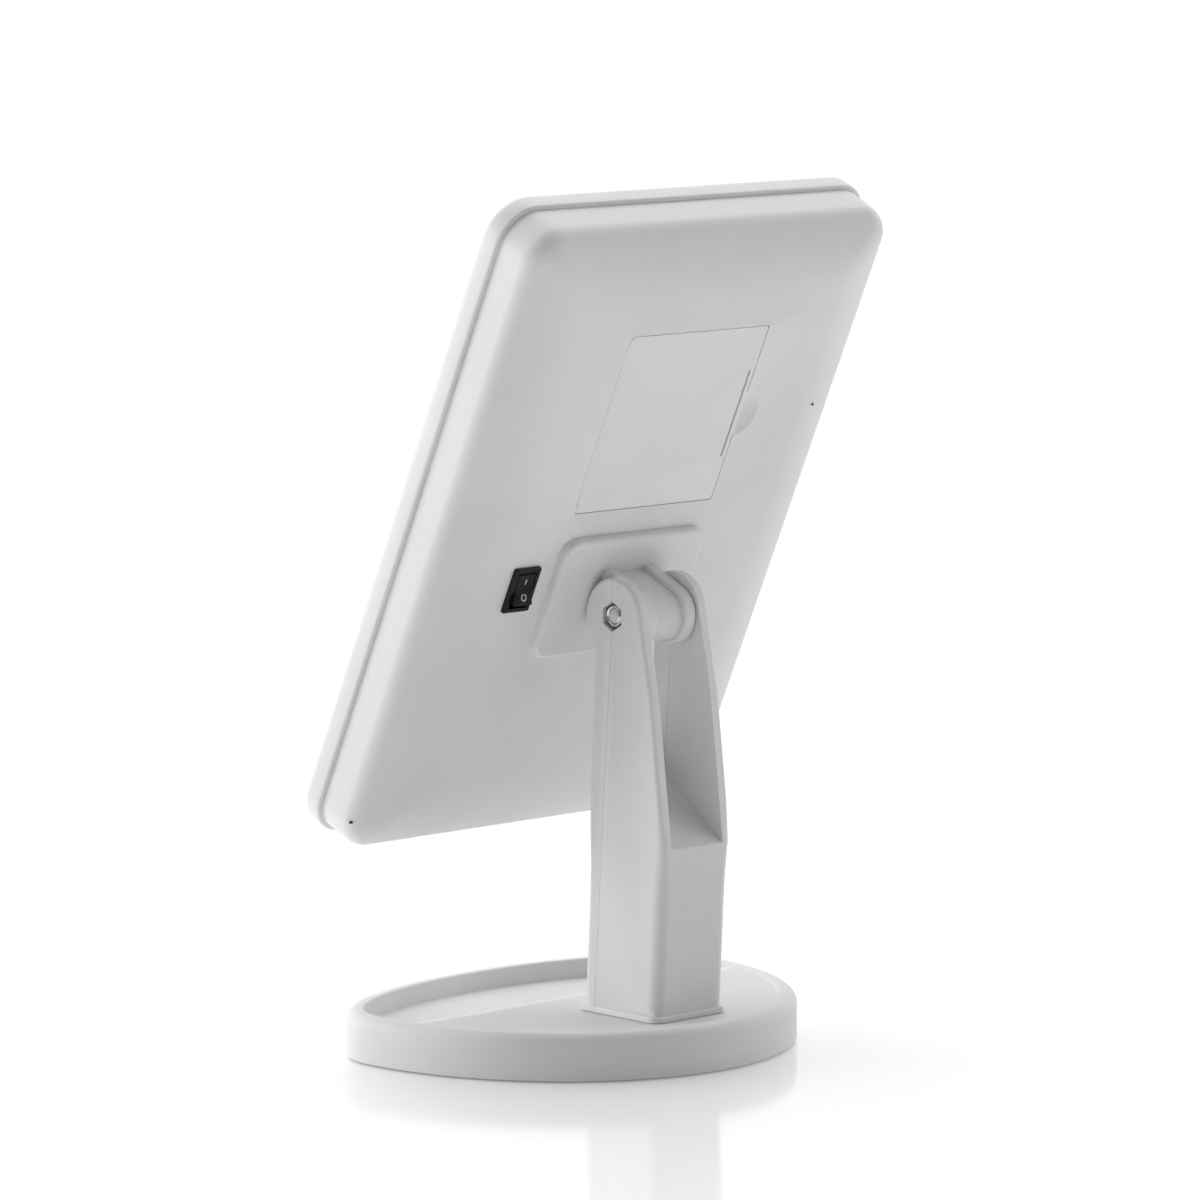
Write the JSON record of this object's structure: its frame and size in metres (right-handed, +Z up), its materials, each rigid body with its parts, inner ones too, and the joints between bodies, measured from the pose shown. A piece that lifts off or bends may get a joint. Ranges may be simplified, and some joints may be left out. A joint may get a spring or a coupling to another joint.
{
  "type": "lit tabletop mirror",
  "caption": "Rectangular mirror with light strips, battery box and rocker switch in its back, tilting in a forked column on an oval tray base.",
  "frame": {"origin": "centre of the oval base's underside, on the surface that it stands on", "axes": "+Z up, -Y the way the mirror faces, +X the side of the hinge nut and the switch"},
  "size_m": [0.1558, 0.1228, 0.2723],
  "materials": {
    "white_shell": "fine satin white moulding",
    "white_bezel": "smooth semi-gloss white moulding",
    "steel_part": "plain zinc-plated steel",
    "plated_steel": "bright nickel plating",
    "soft_pad": "soft grey pad",
    "carrier": "plain moulding",
    "mirror_face": "silvered glass",
    "frosted": "frosted milk acrylic",
    "board": "solder-masked circuit board",
    "led_body": "phosphor-filled lens",
    "pad_metal": "spun disc",
    "cell_jacket": "plain printed jacket",
    "wire_sleeve": "soft sleeve",
    "black_shell": "black satin moulding",
    "terminal_brass": "stamped blade"
  },
  "bodies": {
    "stand": {"base_tray": "white_shell", "base_cover": "white_shell", "ballast": "steel_part", "base_feet": "soft_pad", "cover_screws": "steel_part", "column_screws": "steel_part", "column_rear_shell": "white_shell", "column_front_shell": "white_shell", "hinge_bolt": "plated_steel", "hinge_nut": "plated_steel", "hinge_washers": "steel_part"},
    "head": {"tilt_bracket": "white_shell", "bracket_screws": "steel_part", "rear_shell": "white_shell", "front_bezel": "white_bezel", "carrier_screws": "steel_part", "backing_plate": "carrier", "mirror_glass": "mirror_face", "light_diffusers": "frosted", "led_strips": "board", "leds": "led_body", "touch_pad": "pad_metal", "control_board": "board", "battery_tray": "white_shell", "battery_contacts": "plated_steel", "batteries": "cell_jacket", "wires": "wire_sleeve", "switch_housing": "black_shell", "switch_terminals": "terminal_brass"},
    "door": {"battery_door": "white_shell"},
    "rocker": {"switch_rocker": "black_shell"}
  },
  "joints": [
    {"name": "head_tilt", "type": "hinge", "parent": "stand", "child": "head", "pos_m": [0, 0.0245, 0.1392], "axis": [-1, 0, 0], "range_deg": [-24.6, 95]},
    {"name": "door_lift", "type": "slide", "parent": "head", "child": "door", "axis": [0, 0.9092, -0.4163], "range_m": [0, 0.025]},
    {"name": "rocker_throw", "type": "hinge", "parent": "head", "child": "rocker", "pos_m": [0.0422, 0.01085, 0.14974], "axis": [-1, 0, 0], "range_deg": [0, 26]}
  ]
}
